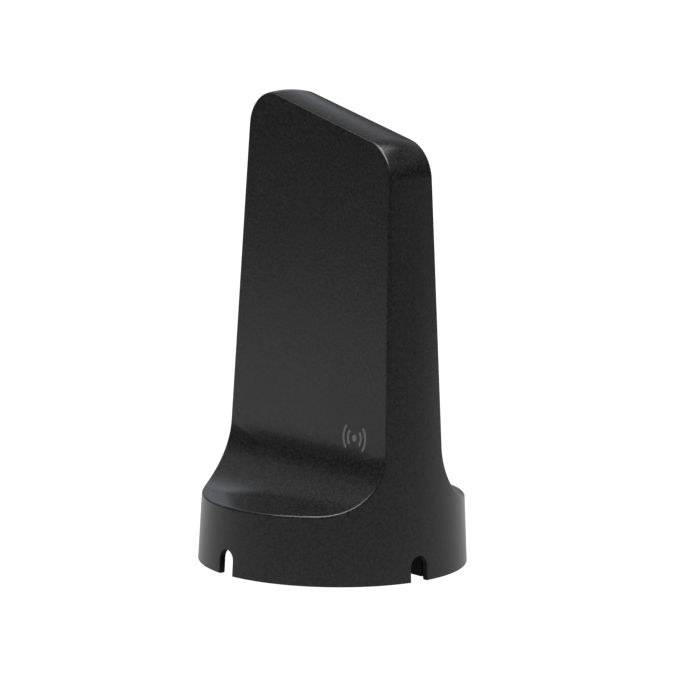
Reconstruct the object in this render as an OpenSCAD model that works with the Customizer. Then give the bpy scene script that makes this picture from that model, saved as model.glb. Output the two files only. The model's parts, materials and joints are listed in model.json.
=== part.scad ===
// Indoor desktop antenna of a cellular signal booster.
// A flat tapered tower rises out of a round weighted base.  The coaxial jack hangs in a
// well under the base, and its cable leaves through any one of four notches in the skirt.
// Millimetres.  The origin is on the table, on the axis of the round base, +Z up.
// The broad faces of the tower look along Y, and its top slopes down towards +X.

/* [Outer shell] */
// Diameter of the round base at its lower edge
base_d = 88; // [80:1:100]
// Draft of the conical outer wall, degrees
wall_draft = 2.9; // [2.5:0.1:3.2]
// Thickness of the shell wall
wall = 2.2; // [1.6:0.1:2.6]
// Distance from the axis to the centre of the higher, left corner round
high_corner_x = 25; // [23:0.5:27]
// Height of the centre of the higher corner round
high_corner_z = 140.1; // [136:0.1:144]
// Distance from the axis to the centre of the lower, right corner round
low_corner_x = 23.7; // [22:0.1:25]
// Height of the centre of the lower corner round
low_corner_z = 126; // [122:0.1:130]

/* [Tower and shelf] */
// Thickness of the tower, carried down to the table
tower_t = 26.1; // [24:0.1:28]
// Draft of each broad face, degrees
tower_draft = 1.9; // [1:0.1:2.5]
// Height of the front and back edge of the shelf
rim_z = 21.9; // [20:0.1:25]
// Rise of the shelf from its edge towards the tower, degrees
shelf_rise = 2.3; // [1:0.1:5]
// Radius of the sweep from the shelf into the broad face
sweep_r = 20.1; // [16:0.1:22]

/* [Underside] */
// Height of the skirt's lower edge above the table
skirt_gap = 0.5; // [0.3:0.1:1]
// Width of a cable notch
notch_w = 6.6; // [5.5:0.1:7]
// Height of a cable notch
notch_h = 8.2; // [7:0.1:8.4]
// Height of the underside of the bottom cover
cover_z = 10; // [9.5:0.1:11]
// Thickness of the bottom cover
cover_t = 2; // [1.6:0.1:2.4]
// Inner radius of the well around the jack
well_r = 13; // [11:0.5:14]
// Height of the well's ceiling
well_z = 22; // [20:0.5:23]
// Distance from the axis to a foot
foot_pitch_r = 25; // [24:0.5:25.5]
// Radius of a rubber foot
foot_r = 5.2; // [4:0.1:5.4]
// Radius of a moulded foot post
post_r = 6; // [5.8:0.1:6.2]

/* [Coaxial jack] */
// Outer radius of the jack's thread, 1/4-36
thread_r = 3.175; // [3.1:0.005:3.2]
// Height of the jack's open end
jack_tip_z = 13; // [12:0.5:14]
// Width across the flats of the nut
nut_af = 8; // [7.9:0.1:8]

/* [Antenna] */
// Thickness of the antenna board
board_t = 1.6; // [1:0.1:1.6]
// Half of the board's width
board_half_w = 30; // [28:0.5:31]
// Height of the board's lower edge
board_z = 40; // [39:0.5:42]
// Thickness of the copper
copper_t = 0.1; // [0.05:0.05:0.15]
// Height of the feed gap between the two radiators
feed_z = 86; // [82:1:90]
// Radius of the inner coaxial cable
cable_r = 1.4; // [1.2:0.1:1.4]

/* [Hidden] */
$fn = 96;
eps = 0.01;
far = 60;                                   // reaches past the base on every side
base_r = base_d / 2;
cone_k = tan(wall_draft);
tower_k = tan(tower_draft);
shelf_k = tan(shelf_rise);

// Slope of the tower's crowned top, from the two corner rounds
corner_dx = high_corner_x + low_corner_x;
corner_dz = high_corner_z - low_corner_z;
corner_gap = norm([corner_dx, corner_dz]);
top_tilt = atan2(corner_dz, corner_dx) - asin((high_corner_x - low_corner_x) / corner_gap);

// Screws: [shank radius, head radius, head height], and the clearance round a shank
m3 = [1.45, 2.8, 1.8];
m25 = [1.2, 2.3, 1.5];
fit = 0.05;
slip = 0.3;

// Heights of the stacked parts inside the base
cover_top = cover_z + cover_t;
ballast_top = cover_top + 6.5;
well_top = well_z + cover_t;
bracket_t = 3;
jack_flange_t = 2;
jack_barrel_z = 30.2;

// Places that repeat round the axis
quarter = [0, 90, 180, 270];
foot_turn = 45;
ballast_screw_turn = 22.5;
ballast_screw_r = 32;
bracket_post_x = 24;
board_tab_x = 16;
board_screw_z = 46;

// ---- outer shell -------------------------------------------------------------------

function cone_r(z) = base_r - cone_k * z;

// Half of the tower and shelf outline in the YZ plane, moved inwards by `inset`
sweep_y0 = tower_t / 2 + sweep_r / cos(tower_draft);
sweep_z0 = rim_z + sweep_r / cos(shelf_rise) + shelf_k * cone_r(rim_z);
sweep_y = (sweep_y0 - tower_k * sweep_z0) / (1 - tower_k * shelf_k);
sweep_z = sweep_z0 - shelf_k * sweep_y;
sweep_steps = 20;
function shelf_z(y, inset) =
    rim_z + shelf_k * (cone_r(rim_z) - y) - inset / cos(shelf_rise);
function tower_y(z, inset) = tower_t / 2 - tower_k * z - inset / cos(tower_draft);
function half_outline(inset, low, high) = concat(
    [[far, low], [far, shelf_z(far, inset)]],
    [for (i = [0 : sweep_steps])
        let (turn = 270 - shelf_rise - i / sweep_steps * (90 - shelf_rise - tower_draft))
        [sweep_y + (sweep_r + inset) * cos(turn), sweep_z + (sweep_r + inset) * sin(turn)]],
    [[tower_y(high, inset), high]]
);
function mirrored(points) =
    [for (i = [len(points) - 1 : -1 : 0]) [-points[i][0], points[i][1]]];

// Both broad faces, sweeps and shelves, as a bar along X
module tower_bar(inset, low) {
    right = half_outline(inset, low, 170);
    rotate([90, 0, 90])
        linear_extrude(2 * far, center = true)
            polygon(concat(right, mirrored(right)));
}

// Plate along Y whose outline in the XZ plane is given
module plate_y(points, width = 2 * far) {
    rotate([90, 0, 0])
        linear_extrude(width, center = true)
            polygon(points);
}

// Wedge above a corner's centre, between the narrow face and the top
module corner_wedge(x, z, side) {
    top = [sin(top_tilt), cos(top_tilt)] * far;
    plate_y([[x, z], [side * 2 * far, z], [side * 2 * far, z + 2 * far], [x, z] + top]);
}

// Barrel that rounds one upper corner: at its middle height it is as wide as the cone
module corner_barrel(x, z, inset) {
    translate([x, 0, z])
        rotate([90, 0, 0])
            rotate_extrude()
                intersection() {
                    translate([-abs(x), 0])
                        circle(r = cone_r(z) - inset);
                    translate([0, -far / 2])
                        square([far, far]);
                }
}

// Crowned top between the corners: a slender cone lying along the slope
module crowned_top(inset) {
    reach = corner_gap * cos(asin((high_corner_x - low_corner_x) / corner_gap));
    high_r = cone_r(high_corner_z) - inset;
    low_r = cone_r(low_corner_z) - inset;
    taper = (low_r - high_r) / reach;
    over = 30;
    translate([-high_corner_x, 0, high_corner_z])
        rotate([0, top_tilt, 0])
            translate([-over, 0, -high_corner_x])
                rotate([0, 90, 0])
                    cylinder(r1 = high_r - taper * over, r2 = low_r + taper * over,
                             h = reach + 2 * over);
}

// The tower and base as one solid, every face moved inwards by `inset`
module shell_form(inset = 0, low = 0) {
    split_z = 100;
    intersection() {
        tower_bar(inset, low);
        union() {
            difference() {
                intersection() {
                    translate([0, 0, low])
                        cylinder(r1 = cone_r(low) - inset, r2 = cone_r(160) - inset,
                                 h = 160 - low);
                    union() {
                        translate([-far, -far, low])
                            cube([2 * far, 2 * far, split_z - low]);
                        crowned_top(inset);
                    }
                }
                corner_wedge(-high_corner_x, high_corner_z, -1);
                corner_wedge(low_corner_x, low_corner_z, 1);
            }
            intersection() {
                corner_barrel(-high_corner_x, high_corner_z, inset);
                corner_wedge(-high_corner_x, high_corner_z, -1);
            }
            intersection() {
                corner_barrel(low_corner_x, low_corner_z, inset);
                corner_wedge(low_corner_x, low_corner_z, 1);
            }
        }
    }
}

// Arched hole through the skirt for the cable
module notch() {
    rotate([90, 0, 90])
        linear_extrude(far)
            union() {
                translate([-notch_w / 2, -1])
                    square([notch_w, notch_h - notch_w / 2 + 1]);
                translate([0, notch_h - notch_w / 2])
                    circle(d = notch_w);
            }
}

// Bosses that take the cover screws, inside the shell
module shell_bosses() {
    boss_r = 3.4;
    boss_top = 32;
    for (turn = quarter)
        rotate(turn + foot_turn)
            translate([foot_pitch_r, 0, cover_top - skirt_gap])
                difference() {
                    cylinder(r = boss_r, h = boss_top - cover_top);
                    translate([0, 0, -eps])
                        cylinder(r = m3[0] + fit, h = 9);
                }
}

// Pairs of ribs on the narrow faces that keep the board's edges in line
module board_guides() {
    guide_z = 62;
    guide_h = 46;
    guide_t = 1.2;
    for (side = [-1, 1])
        for (face = [-1, 1])
            translate([side * (board_half_w + 5), face * (board_t / 2 + fit + guide_t / 2),
                       guide_z + guide_h / 2])
                cube([14, guide_t, guide_h], center = true);
}

module housing() {
    color("#2b2b2d")
        translate([0, 0, skirt_gap]) {
            difference() {
                shell_form();
                shell_form(inset = wall, low = -1);
                for (turn = quarter)
                    rotate(turn)
                        notch();
            }
            intersection() {
                shell_form(inset = wall / 2);
                union() {
                    shell_bosses();
                    board_guides();
                }
            }
        }
}

// Printed sign low on the front face: a dot between two pairs of arcs
module face_mark() {
    ink_t = 0.08;
    mark_x = 24.5;
    mark_z = 44.5;
    dot_r = 1.1;
    stroke = 0.9;
    arc_half = 42;
    color("#77787a")
        translate([mark_x, -tower_y(mark_z, 0), mark_z + skirt_gap])
            rotate([90 - tower_draft, 0, 0])
                linear_extrude(ink_t) {
                    circle(r = dot_r);
                    for (side = [0, 180])
                        for (ring_r = [3.2, 5.4])
                            rotate(side)
                                intersection() {
                                    difference() {
                                        circle(r = ring_r + stroke / 2);
                                        circle(r = ring_r - stroke / 2);
                                    }
                                    polygon([[0, 0], 9 * [cos(arc_half), -sin(arc_half)],
                                             9 * [cos(arc_half), sin(arc_half)]]);
                                }
                }
}

// ---- underside ---------------------------------------------------------------------

foot_recess = 0.8;
foot_t = 2;
post_z = foot_t - foot_recess;
screw_seat_z = 7.6;

module foot_post() {
    difference() {
        translate([0, 0, post_z])
            cylinder(r = post_r, h = cover_top - post_z);
        translate([0, 0, post_z - eps])
            cylinder(r = foot_r + 0.1, h = foot_recess + eps);
        translate([0, 0, post_z - eps])
            cylinder(r = m3[1] + slip, h = screw_seat_z - post_z + eps);
        translate([0, 0, post_z])
            cylinder(r = m3[0] + 0.2, h = cover_top);
    }
}

// Rib with a hooked end beside a notch, which keeps the cable in its channel
module cable_rib() {
    rib_t = 2;
    rib_low = 1.2;
    rib_in = 27;
    rib_out = 40.6;
    translate([rib_in, notch_w / 2 + 0.1, rib_low])
        cube([rib_out - rib_in, rib_t, cover_top - rib_low]);
    translate([rib_in, notch_w / 2 + 0.1 + rib_t / 2, rib_low])
        cylinder(r = rib_t / 2 + 0.5, h = cover_top - rib_low);
}

module bottom_cover() {
    color("#262628")
        difference() {
            union() {
                translate([0, 0, cover_z])
                    cylinder(r = cone_r(cover_top) - wall - slip, h = cover_t);
                translate([0, 0, cover_z])
                    cylinder(r = well_r + cover_t, h = well_top - cover_z);
                for (turn = quarter)
                    rotate(turn)
                        cable_rib();
                for (turn = quarter)
                    rotate(turn + foot_turn)
                        translate([foot_pitch_r, 0, 0])
                            foot_post();
                for (side = [-1, 1])
                    translate([side * bracket_post_x, 0, cover_z])
                        cylinder(r = 3.2, h = well_top - cover_z);
            }
            translate([0, 0, cover_z - 1])
                cylinder(r = well_r, h = well_z - cover_z + 1);
            cylinder(r = thread_r + 0.15, h = far);
            for (turn = quarter)
                rotate(turn + foot_turn)
                    translate([foot_pitch_r, 0, screw_seat_z + 1])
                        cylinder(r = m3[0] + 0.2, h = far);
            for (turn = quarter)
                rotate(turn + ballast_screw_turn)
                    translate([ballast_screw_r, 0, 0])
                        cylinder(r = m3[0] + 0.2, h = far);
            for (side = [-1, 1])
                translate([side * bracket_post_x, 0, cover_top])
                    cylinder(r = m25[0] + fit, h = far);
        }
}

// Pan-head screw standing on its head at the origin, shank up
module screw(size, length) {
    drive_r = size[0] * 0.7;
    difference() {
        union() {
            translate([0, 0, -size[2]])
                cylinder(r = size[1], h = size[2]);
            translate([0, 0, -eps])
                cylinder(r = size[0], h = length + eps);
        }
        translate([0, 0, -size[2] - eps])
            cylinder(r = drive_r, h = size[2] * 0.6, $fn = 6);
    }
}

module cover_screws() {
    color("#8d9094")
        for (turn = quarter)
            rotate(turn + foot_turn)
                translate([foot_pitch_r, 0, screw_seat_z])
                    screw(m3, 12);
}

module ballast_screws() {
    color("#8d9094")
        for (turn = quarter)
            rotate(turn + ballast_screw_turn)
                translate([ballast_screw_r, 0, cover_z])
                    screw(m3, 7);
}

module rubber_feet() {
    color("#1b1b1b")
        for (turn = quarter)
            rotate(turn + foot_turn)
                translate([foot_pitch_r, 0, 0])
                    cylinder(r = foot_r, h = foot_t);
}

module ballast_weight() {
    outer_r = 38;
    inner_r = well_r + cover_t + 1;
    color("#6f7276")
        difference() {
            translate([0, 0, cover_top])
                cylinder(r = outer_r, h = ballast_top - cover_top);
            cylinder(r = inner_r, h = far);
            for (turn = quarter)
                rotate(turn + foot_turn)
                    translate([foot_pitch_r, 0, 0])
                        cylinder(r = 4, h = far);
            for (side = [-1, 1])
                translate([side * bracket_post_x, 0, 0])
                    cylinder(r = 3.8, h = far);
            for (turn = quarter)
                rotate(turn + ballast_screw_turn)
                    translate([ballast_screw_r, 0, 0])
                        cylinder(r = m3[0] + fit, h = far);
        }
}

// ---- antenna -----------------------------------------------------------------------

board_slot_w = 8;
board_slot_top = 60;
board_high = [-28, 141];
board_low = [28, 128];

module antenna_board() {
    color("#1f5a3a")
        difference() {
            plate_y([
                [-board_half_w, board_z], [-board_slot_w / 2, board_z],
                [-board_slot_w / 2, board_slot_top], [board_slot_w / 2, board_slot_top],
                [board_slot_w / 2, board_z], [board_half_w, board_z],
                [board_half_w, board_low[1] - 6], board_low, board_high,
                [-board_half_w, board_high[1] - 6]
            ], board_t);
            for (side = [-1, 1])
                translate([side * board_tab_x, 0, board_screw_z])
                    rotate([90, 0, 0])
                        cylinder(r = m25[0] + 0.15, h = 4, center = true);
        }
}

// Copper sheet on the board's front face
module copper(points) {
    translate([0, -(board_t + copper_t) / 2, 0])
        plate_y(points, copper_t);
}

// Half ellipse that narrows a radiator towards the feed: [x, distance from the feed]
feed_gap = 2;
function feed_curve(half_w, depth, steps = 16) =
    [for (i = [0 : steps])
        let (turn = 180 * i / steps)
        [-half_w * cos(turn), depth - depth * sin(turn)]];

module upper_radiator() {
    half_w = 24;
    depth = 18;
    color("#b87333")
        copper(concat(
            [for (p = feed_curve(half_w, depth)) [p[0], feed_z + feed_gap / 2 + p[1]]],
            [[half_w, board_low[1] - 1], [-half_w, board_high[1] - 3]]
        ));
}

module lower_radiator() {
    half_w = 24;
    depth = 14;
    low = 51;
    slot = board_slot_w / 2 + 1;
    color("#b87333")
        copper(concat(
            [for (p = feed_curve(half_w, depth)) [p[0], feed_z - feed_gap / 2 - p[1]]],
            [[half_w, low], [slot, low], [slot, board_slot_top + 1],
             [-slot, board_slot_top + 1], [-slot, low], [-half_w, low]]
        ));
}

module board_bracket() {
    tab_w = 10;
    tab_t = 3;
    tab_top = 51;
    tab_y = board_t / 2 + fit;
    base_half_x = 28;
    base_half_y = 6;
    color("#d8d4c8")
        difference() {
            union() {
                translate([-base_half_x, -base_half_y, well_top])
                    cube([2 * base_half_x, 2 * base_half_y, bracket_t]);
                for (side = [-1, 1])
                    translate([side * board_tab_x - tab_w / 2, 0, well_top]) {
                        translate([0, tab_y, 0])
                            cube([tab_w, tab_t, tab_top - well_top]);
                        translate([0, -3, 0])
                            cube([tab_w, tab_y + 3 + eps, board_z - fit - well_top]);
                    }
            }
            cylinder(r = 5.2, h = far);
            for (side = [-1, 1])
                translate([side * bracket_post_x, 0, 0])
                    cylinder(r = m25[0] + 0.15, h = far);
            for (side = [-1, 1])
                translate([side * board_tab_x, tab_y + tab_t / 2, board_screw_z])
                    rotate([90, 0, 0])
                        cylinder(r = m25[0] + fit, h = tab_t + 1, center = true);
        }
}

module bracket_screws() {
    color("#8d9094")
        for (side = [-1, 1])
            translate([side * bracket_post_x, 0, well_top + bracket_t])
                rotate([180, 0, 0])
                    screw(m25, 8);
}

module board_screws() {
    color("#8d9094")
        for (side = [-1, 1])
            translate([side * board_tab_x, -board_t / 2, board_screw_z])
                rotate([-90, 0, 0])
                    screw(m25, 5);
}

// Soft blocks between the board and the broad faces, which stop a rattle
module foam_pads() {
    pad = [18, 5, 10];
    pad_z = 112;
    color("#3a3a3c")
        for (face = [-1, 1])
            translate([-pad[0] / 2, face > 0 ? board_t / 2 : -board_t / 2 - copper_t - pad[1], pad_z])
                cube(pad);
}

// ---- inner cable -------------------------------------------------------------------

cable_y = board_t / 2 + copper_t + cable_r;
bend_z = 48;
bend_h = 11;
cable_end_z = feed_z - feed_gap / 2 - 1;

// Route in the YZ plane: up through the beads, over to the board's face, up to the feed
bend_steps = 8;
cable_route = concat(
    [[0, jack_barrel_z]],
    [for (i = [0 : bend_steps])
        [-cable_y * (1 - cos(180 * i / bend_steps)) / 2, bend_z + bend_h * i / bend_steps]],
    [[-cable_y, cable_end_z]]
);

// Round tube along a route in the YZ plane
module tube(route, r, sides = 12) {
    last = len(route) - 1;
    rings = [for (i = [0 : last])
        let (along = route[min(i + 1, last)] - route[max(i - 1, 0)])
        let (across = [along[1], -along[0]] / norm(along))
        for (k = [0 : sides - 1])
            let (turn = 360 * k / sides)
            let (offset = r * cos(turn) * across)
            [r * sin(turn), route[i][0] + offset[0], route[i][1] + offset[1]]];
    walls = [for (i = [0 : last - 1]) for (k = [0 : sides - 1])
        let (next = (k + 1) % sides)
        [i * sides + k, i * sides + next, (i + 1) * sides + next, (i + 1) * sides + k]];
    ends = [[for (k = [sides - 1 : -1 : 0]) k], [for (k = [0 : sides - 1]) last * sides + k]];
    polyhedron(concat(rings), concat(walls, ends), convexity = 4);
}

// Jumper from the jack to the feed
module pigtail_cable() {
    color("#6b4a2b")
        tube(cable_route, cable_r);
}

conductor_r = 0.4;
conductor_end_z = feed_z + feed_gap / 2 + 3;

module feed_conductor() {
    color("#d9c27a")
        translate([0, -cable_y, cable_end_z])
            cylinder(r = conductor_r, h = conductor_end_z - cable_end_z);
}

// Solder that joins the screen to the lower radiator and the core to the upper one
module solder_joints() {
    joint_y = board_t / 2 + copper_t;
    color("#c9ccd0") {
        translate([0, -joint_y, conductor_end_z - 1.2])
            rotate([90, 0, 0])
                difference() {
                    cylinder(r1 = 1.5, r2 = 0.9, h = 2.2);
                    rotate([90, 0, 0])
                        translate([0, cable_y - joint_y, 0])
                            cylinder(r = conductor_r + 0.02, h = 2 * far, center = true);
                }
        for (side = [-1, 1])
            translate([side * (cable_r + 0.9), -joint_y, cable_end_z - 2])
                rotate([90, 0, 0])
                    cylinder(r1 = 0.85, r2 = 0.4, h = 1.4);
    }
}

module cable_clips() {
    clip = [8, 2 * cable_r + 0.9, 3];
    color("#e6e3da")
        for (z = [66, 77])
            translate([0, -(board_t / 2 + copper_t + clip[1] / 2), z])
                difference() {
                    cube(clip, center = true);
                    translate([0, clip[1] / 2 - cable_r, 0])
                        cylinder(r = cable_r + fit, h = far, center = true);
                }
}

module ferrite_beads() {
    bead = [3.2, 3.8];
    color("#3f4145")
        for (i = [0 : 2])
            translate([0, 0, 34.6 + i * 4.3])
                difference() {
                    cylinder(r = bead[0], h = bead[1]);
                    translate([0, 0, -1])
                        cylinder(r = cable_r + fit, h = bead[1] + 2);
                }
}

// ---- coaxial jack ------------------------------------------------------------------

insulator_r = 2.05;
contact_r = 0.65;
barrel_r = 2.5;
mesh_r = 3;                                 // where the nut's thread and the jack's mesh
washer_t = 0.6;
nut_t = 2.2;
nut_z = well_z - washer_t - nut_t;

module crimp_ferrule() {
    skin_t = 0.35;
    low = well_top + jack_flange_t + 0.4;
    neck_z = jack_barrel_z + 0.3;
    color("#c9a44c")
        difference() {
            union() {
                translate([0, 0, low])
                    cylinder(r = barrel_r + fit + skin_t, h = neck_z - low + skin_t);
                translate([0, 0, neck_z])
                    cylinder(r = cable_r + fit + skin_t, h = 3.4);
            }
            translate([0, 0, low - 1])
                cylinder(r = barrel_r + fit, h = neck_z - low + 1);
            cylinder(r = cable_r + fit, h = far);
        }
}

module jack_body() {
    color("#c9a44c")
        difference() {
            union() {
                translate([0, 0, jack_tip_z])
                    cylinder(r = thread_r, h = nut_z - jack_tip_z);
                translate([0, 0, nut_z - eps])
                    cylinder(r = mesh_r, h = well_top - nut_z + 2 * eps);
                translate([0, 0, well_top])
                    cylinder(r = nut_af / 2 / cos(30), h = jack_flange_t, $fn = 6);
                translate([0, 0, well_top + jack_flange_t - eps])
                    cylinder(r = barrel_r, h = jack_barrel_z - well_top - jack_flange_t + eps);
            }
            translate([0, 0, jack_tip_z - 1])
                cylinder(r = insulator_r + fit, h = far);
        }
}

module jack_insulator() {
    color("#f2f0ea")
        difference() {
            translate([0, 0, jack_tip_z + 0.1])
                cylinder(r = insulator_r, h = jack_barrel_z - jack_tip_z - 0.1);
            cylinder(r = contact_r + fit, h = far);
        }
}

module jack_contact() {
    color("#d9b44a")
        difference() {
            translate([0, 0, jack_tip_z + 0.1])
                cylinder(r = contact_r, h = jack_barrel_z - jack_tip_z - 0.1);
            translate([0, 0, jack_tip_z])
                cylinder(r = 0.47, h = 4);
        }
}

module jack_lock_washer() {
    color("#b9bcc0")
        translate([0, 0, well_z - washer_t])
            difference() {
                cylinder(r = 5.4, h = washer_t);
                translate([0, 0, -1])
                    cylinder(r = thread_r + fit, h = washer_t + 2);
            }
}

module jack_nut() {
    color("#c9a44c")
        translate([0, 0, nut_z])
            difference() {
                cylinder(r = nut_af / 2 / cos(30), h = nut_t, $fn = 6);
                translate([0, 0, -1])
                    cylinder(r = mesh_r + 0.02, h = nut_t + 2);
            }
}

housing();
bottom_cover();
cover_screws();
rubber_feet();
ballast_weight();
ballast_screws();
antenna_board();
upper_radiator();
lower_radiator();
board_bracket();
bracket_screws();
board_screws();
foam_pads();
pigtail_cable();
feed_conductor();
solder_joints();
cable_clips();
ferrite_beads();
crimp_ferrule();
jack_body();
jack_insulator();
jack_contact();
jack_nut();
jack_lock_washer();
face_mark();
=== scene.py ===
import json
import math

import bmesh
import bpy
import numpy as np
from mathutils import Matrix, Vector


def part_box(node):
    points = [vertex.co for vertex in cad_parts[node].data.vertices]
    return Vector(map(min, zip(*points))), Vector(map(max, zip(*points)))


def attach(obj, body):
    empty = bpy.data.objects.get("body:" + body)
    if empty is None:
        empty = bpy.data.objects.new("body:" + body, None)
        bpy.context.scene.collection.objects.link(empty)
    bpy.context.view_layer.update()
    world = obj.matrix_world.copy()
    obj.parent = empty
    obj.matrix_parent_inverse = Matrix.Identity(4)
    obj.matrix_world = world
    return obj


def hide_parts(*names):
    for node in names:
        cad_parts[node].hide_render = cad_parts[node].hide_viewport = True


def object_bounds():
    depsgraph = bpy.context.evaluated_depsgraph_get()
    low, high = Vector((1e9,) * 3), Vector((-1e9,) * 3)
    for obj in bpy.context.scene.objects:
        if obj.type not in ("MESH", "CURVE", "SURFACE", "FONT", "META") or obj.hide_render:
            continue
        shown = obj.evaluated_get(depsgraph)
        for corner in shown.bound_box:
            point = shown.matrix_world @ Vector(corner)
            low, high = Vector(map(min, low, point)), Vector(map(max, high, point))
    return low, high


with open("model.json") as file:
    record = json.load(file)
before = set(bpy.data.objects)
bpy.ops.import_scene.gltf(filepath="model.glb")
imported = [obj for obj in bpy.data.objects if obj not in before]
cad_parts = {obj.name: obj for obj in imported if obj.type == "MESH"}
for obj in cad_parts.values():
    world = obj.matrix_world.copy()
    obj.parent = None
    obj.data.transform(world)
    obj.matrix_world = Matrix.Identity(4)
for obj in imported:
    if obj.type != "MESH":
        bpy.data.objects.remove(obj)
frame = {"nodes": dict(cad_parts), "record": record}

cad_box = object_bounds()
MM = 0.001                # one millimetre, in metres
BODY = "root"             # nothing on this object moves, so it is one body
POINT_R = 1e-4            # the radius, in millimetres, of a ring that closes to a point


def add_object(name, bm):
    """Turns a finished bmesh into an object in the scene."""
    mesh = bpy.data.meshes.new(name)
    bm.to_mesh(mesh)
    bm.free()
    piece = bpy.data.objects.new(name, mesh)
    bpy.context.collection.objects.link(piece)
    return piece


def heights(node):
    """The lowest and highest point of a CAD node, in millimetres above the table."""
    low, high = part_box(node)
    return low.z / MM, high.z / MM


# ---- camera ------------------------------------------------------------------------

VIEW_AZIMUTH = math.radians(50.60)
VIEW_ELEVATION = math.radians(8.21)
VIEW_DISTANCE = 978.6 * MM
VIEW_ROLL = math.radians(0.784)
VIEW_ASIDE = 4.81 * MM    # how far right of the axis the picture's middle looks
VIEW_HEIGHT = 69.45 * MM
LENS_MM = 155.14
SENSOR_MM = 36.0


def add_camera():
    """A long lens, turned half way from the broad front face to the narrow right one."""
    flat = math.cos(VIEW_ELEVATION)
    back = Vector((math.sin(VIEW_AZIMUTH) * flat, -math.cos(VIEW_AZIMUTH) * flat,
                   math.sin(VIEW_ELEVATION)))
    right = Vector((math.cos(VIEW_AZIMUTH), math.sin(VIEW_AZIMUTH), 0.0))
    aim = right * VIEW_ASIDE + Vector((0.0, 0.0, VIEW_HEIGHT))
    up = back.cross(right)
    rolled_right = right * math.cos(VIEW_ROLL) + up * math.sin(VIEW_ROLL)
    rolled_up = back.cross(rolled_right)
    data = bpy.data.cameras.new("camera")
    data.lens = LENS_MM
    data.sensor_width = SENSOR_MM
    data.clip_start = 0.01
    data.clip_end = 20.0
    camera = bpy.data.objects.new("camera", data)
    turn = Matrix((rolled_right, rolled_up, back)).transposed()
    camera.matrix_world = Matrix.Translation(aim + back * VIEW_DISTANCE) @ turn.to_4x4()
    bpy.context.collection.objects.link(camera)
    bpy.context.scene.camera = camera


add_camera()


# ---- the shell's outline, in millimetres above the lower edge of its skirt ------------

SKIRT_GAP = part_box("housing")[0].z / MM
BASE_R = 44.0
WALL = 2.2
WALL_DRAFT = math.radians(2.9)
TOWER_T = 26.1            # thickness of the tower, carried down to the table
TOWER_DRAFT = math.radians(1.9)
RIM_Z = 21.9
SHELF_RISE = math.radians(2.3)
SWEEP_R = 20.1
LEFT_CORNER = (-25.0, 140.1)
RIGHT_CORNER = (23.7, 126.0)
NOTCH_W = 6.6
NOTCH_H = 8.2


def cone_r(z):
    """The outer radius of the skirt and of the tower's narrow faces at height z."""
    return BASE_R - math.tan(WALL_DRAFT) * z


def unit(v):
    """The same directions at length one."""
    return v / np.linalg.norm(v, axis=-1, keepdims=True)


class Profile:
    """Half of the side outline in the YZ plane, by arc length t: shelf, sweep, broad face."""

    def __init__(self):
        rise, draft = SHELF_RISE, TOWER_DRAFT
        self.rim = np.array([cone_r(RIM_Z), RIM_Z])
        y0 = TOWER_T / 2 + SWEEP_R / math.cos(draft)
        z0 = RIM_Z + SWEEP_R / math.cos(rise) + math.tan(rise) * self.rim[0]
        y = (y0 - math.tan(draft) * z0) / (1 - math.tan(draft) * math.tan(rise))
        self.centre = np.array([y, z0 - math.tan(rise) * y])
        self.shelf_end = self.centre - SWEEP_R * np.array([math.sin(rise), math.cos(rise)])
        self.face_start = self.centre - SWEEP_R * np.array([math.cos(draft), math.sin(draft)])
        self.t_shelf = np.linalg.norm(self.shelf_end - self.rim)
        self.t_sweep = self.t_shelf + SWEEP_R * (math.pi / 2 - rise - draft)

    def at(self, t, inset=0.0):
        """Point and outward normal (y, z) at each t, on the outline moved inwards."""
        t = np.asarray(t, float)
        rise, draft = SHELF_RISE, TOWER_DRAFT
        along_sweep = np.clip(t, self.t_shelf, self.t_sweep) - self.t_shelf
        turn = 1.5 * math.pi - rise - along_sweep / SWEEP_R
        normal = -np.stack([np.cos(turn), np.sin(turn)], -1)
        point = self.centre - SWEEP_R * normal
        along_shelf = np.minimum(t - self.t_shelf, 0.0)[..., None]
        along_face = np.maximum(t - self.t_sweep, 0.0)[..., None]
        point = point + along_shelf * np.array([-math.cos(rise), math.sin(rise)])
        point = point + along_face * np.array([-math.sin(draft), math.cos(draft)])
        return point - inset * normal, normal

    def t_on_face(self, z):
        """The t of a point on the broad face at height z."""
        return self.t_sweep + (z - self.face_start[1]) / math.cos(TOWER_DRAFT)


profile = Profile()


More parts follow.
